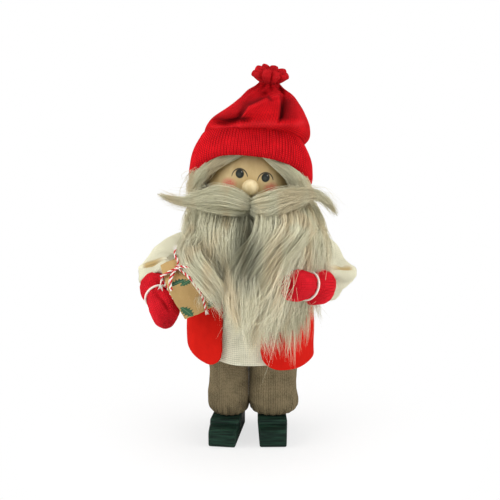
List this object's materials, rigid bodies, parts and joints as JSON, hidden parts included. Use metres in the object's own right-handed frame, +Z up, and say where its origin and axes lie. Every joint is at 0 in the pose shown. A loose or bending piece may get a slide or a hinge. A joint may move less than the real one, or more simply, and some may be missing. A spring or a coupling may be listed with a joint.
{
  "type": "tomte figure",
  "caption": "Standing folk gnome doll with a knitted red hat, long wool beard, felt waistcoat, wooden shoes, bendable wire arms and a wrapped parcel under one arm.",
  "frame": {"origin": "on the floor, under the middle of the figure's bounding box", "axes": "+Z up, the figure faces -Y, its own left side is +X"},
  "size_m": [0.141, 0.1062, 0.2504],
  "materials": {
    "shoe_paint": "dark green paint on wood, grain showing through",
    "bare_wood": "sanded, unpainted",
    "face_wood": "sanded and waxed, painted eyes and cheeks",
    "steel_wire": "bright drawn wire",
    "wadding": "loose fibre",
    "trouser_knit": "fine wool knit",
    "jumper_knit": "fine wool knit",
    "vest_felt": "pressed felt",
    "red_knit": "fine wool knit",
    "white_band": "covered elastic thread",
    "wool": "long combed wool fleece",
    "card": "plain card",
    "wrap_paper": "brown wrapping paper with printed leaves",
    "twine": "two-colour cotton twine"
  },
  "bodies": {
    "torso": {"right_shoe": "shoe_paint", "left_shoe": "shoe_paint", "right_leg_dowel": "bare_wood", "left_leg_dowel": "bare_wood", "hip_block": "bare_wood", "spine_dowel": "bare_wood", "shoulder_wire": "steel_wire", "trousers": "trouser_knit", "right_leg_wadding": "wadding", "left_leg_wadding": "wadding", "torso_wadding": "wadding", "jumper": "jumper_knit", "waistcoat": "vest_felt"},
    "head": {"head": "face_wood", "nose_bead": "bare_wood", "hair": "wool", "beard": "wool", "right_moustache": "wool", "left_moustache": "wool", "hat_cuff": "red_knit", "hat_crown": "red_knit", "hat_tuft": "red_knit", "hat_tie": "red_knit"},
    "right_arm": {"right_sleeve": "jumper_knit", "right_arm_wire": "steel_wire"},
    "left_arm": {"left_sleeve": "jumper_knit", "left_arm_wire": "steel_wire"},
    "right_hand": {"right_mitten": "red_knit", "right_mitten_band": "white_band", "right_hand_wire": "steel_wire", "parcel_box": "card", "parcel_paper": "wrap_paper", "parcel_twine": "twine"},
    "left_hand": {"left_mitten": "red_knit", "left_mitten_band": "white_band", "left_hand_wire": "steel_wire"}
  },
  "joints": [
    {"name": "head_turn", "type": "hinge", "parent": "torso", "child": "head", "pos_m": [0.0015, 0.01158, 0.146], "axis": [0, 0, 1], "range_deg": [-25, 25], "deforming": ["beard"]},
    {"name": "right_shoulder", "type": "hinge", "parent": "torso", "child": "right_arm", "pos_m": [-0.033, 0.01259, 0.13], "axis": [0, 1, 0], "range_deg": [0, 50]},
    {"name": "left_shoulder", "type": "hinge", "parent": "torso", "child": "left_arm", "pos_m": [0.036, 0.01259, 0.13], "axis": [0, -1, 0], "range_deg": [0, 50]},
    {"name": "right_elbow", "type": "hinge", "parent": "right_arm", "child": "right_hand", "pos_m": [-0.05458, 0.00282, 0.11534], "axis": [0, 0, -1], "range_deg": [0, 25]},
    {"name": "left_elbow", "type": "hinge", "parent": "left_arm", "child": "left_hand", "pos_m": [0.05458, 0.00282, 0.11434], "axis": [0, 0, 1], "range_deg": [0, 35]}
  ]
}
